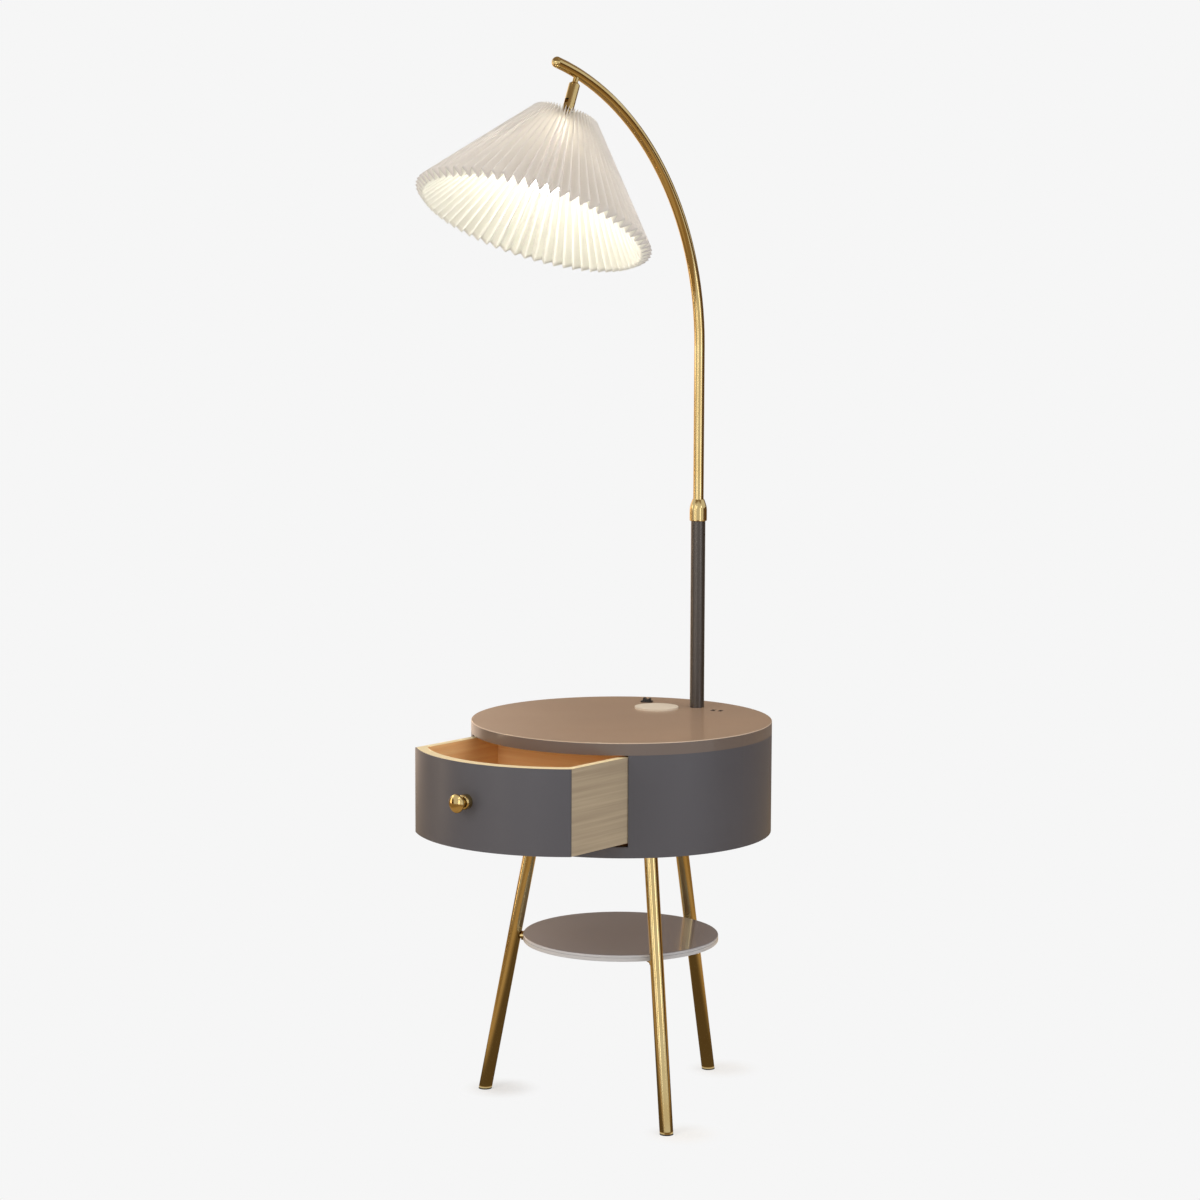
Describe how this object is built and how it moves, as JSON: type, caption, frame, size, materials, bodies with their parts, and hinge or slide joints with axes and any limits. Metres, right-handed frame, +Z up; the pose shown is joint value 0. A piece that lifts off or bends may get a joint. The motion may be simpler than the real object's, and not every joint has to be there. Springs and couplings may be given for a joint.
{
  "type": "arc floor lamp with side table",
  "caption": "Arc floor lamp with a pleated cone shade on a telescoping swivel arm, rising from a round side table with a drawer, charging pad and lower shelf.",
  "frame": {"origin": "on the floor, at the middle of the bounding box in plan", "axes": "+Z up, the drawer opens towards -Y, the pole stands at the back towards +Y"},
  "size_m": [0.45, 0.6044, 1.5509],
  "materials": {
    "top_lacquer": "smooth satin lacquer, warm grey-brown",
    "drum_lacquer": "smooth satin lacquer, dark grey",
    "clear_wood": "clear lacquered light wood",
    "shelf_lacquer": "high gloss lacquer, warm grey",
    "polished_brass": "polished, brushed along the tube",
    "dark_bronze": "satin dark bronze coating",
    "zinc_steel": "zinc plated",
    "copper_winding": "enamelled copper winding",
    "black_rubber": "matt moulded rubber",
    "black_plastic": "fine moulded satin",
    "ivory_plastic": "smooth moulded ivory",
    "opal_glass": "opal glass, lit",
    "pleated_cloth": "cloth laminated to film, heat pleated, backlit"
  },
  "bodies": {
    "table": {"table_top": "top_lacquer", "drum_wall": "drum_lacquer", "drum_floor": "clear_wood", "bay_side_left": "clear_wood", "bay_side_right": "clear_wood", "bay_back": "clear_wood", "top_dowels": "clear_wood", "runner_left": "zinc_steel", "runner_right": "zinc_steel", "runner_screws": "zinc_steel", "leg_back": "polished_brass", "leg_front_left": "polished_brass", "leg_front_right": "polished_brass", "leg_plate_back": "dark_bronze", "leg_plate_front_left": "dark_bronze", "leg_plate_front_right": "dark_bronze", "leg_screws": "zinc_steel", "foot_back": "black_rubber", "foot_front_left": "black_rubber", "foot_front_right": "black_rubber", "shelf": "shelf_lacquer", "shelf_pins": "polished_brass", "charger_housing": "ivory_plastic", "charger_pad": "ivory_plastic", "charger_coil": "copper_winding", "port_block": "black_plastic", "port_tongues": "black_plastic", "switch_bezel": "black_plastic", "power_supply": "black_plastic", "cable_grommet": "black_rubber", "sleeve_tube": "dark_bronze", "pole_socket": "dark_bronze", "socket_screws": "zinc_steel", "clamp_collet": "black_plastic"},
    "rocker": {"switch_rocker": "black_plastic"},
    "clamp": {"clamp_nut": "polished_brass"},
    "glide": {"guide_bush": "black_plastic"},
    "arm": {"arc_tube": "polished_brass", "arc_end_cap": "polished_brass", "stem_fork": "polished_brass", "pivot_pin": "polished_brass"},
    "head": {"knuckle_eye": "polished_brass", "holder_cap": "polished_brass", "holder_nut": "zinc_steel", "lamp_holder": "ivory_plastic", "bulb_base": "zinc_steel", "bulb_globe": "opal_glass", "shade_carrier": "ivory_plastic", "shade_nut": "ivory_plastic", "pleated_shade": "pleated_cloth"},
    "drawer": {"drawer_front": "clear_wood", "drawer_facing": "drum_lacquer", "drawer_side_left": "clear_wood", "drawer_side_right": "clear_wood", "drawer_back": "clear_wood", "drawer_bottom": "clear_wood", "drawer_rail_left": "zinc_steel", "drawer_rail_right": "zinc_steel", "knob": "polished_brass", "knob_screw": "zinc_steel"}
  },
  "joints": [
    {"name": "drawer_slide", "type": "slide", "parent": "table", "child": "drawer", "axis": [0, -1, 0], "range_m": [-0.128, 0.022]},
    {"name": "arm_height", "type": "slide", "parent": "table", "child": "glide", "axis": [0, 0, 1], "range_m": [-0.15, 0.1]},
    {"name": "arm_swivel", "type": "hinge", "parent": "glide", "child": "arm", "pos_m": [0.0182, 0.24115, 0.617], "axis": [0, 0, 1], "range_deg": [-175, 175]},
    {"name": "clamp_turn", "type": "hinge", "parent": "table", "child": "clamp", "pos_m": [0.0182, 0.24115, 0.867], "axis": [0, 0, 1], "range_deg": [0, 180]},
    {"name": "shade_tilt", "type": "hinge", "parent": "arm", "child": "head", "pos_m": [-0.00203, -0.04814, 1.48335], "axis": [-0.9976, 0.0698, 0], "range_deg": [-30, 45]},
    {"name": "switch_rock", "type": "hinge", "parent": "table", "child": "rocker", "pos_m": [-0.072, 0.23225, 0.5805], "axis": [-0.4226, 0.9063, 0], "range_deg": [-12, 0]}
  ]
}
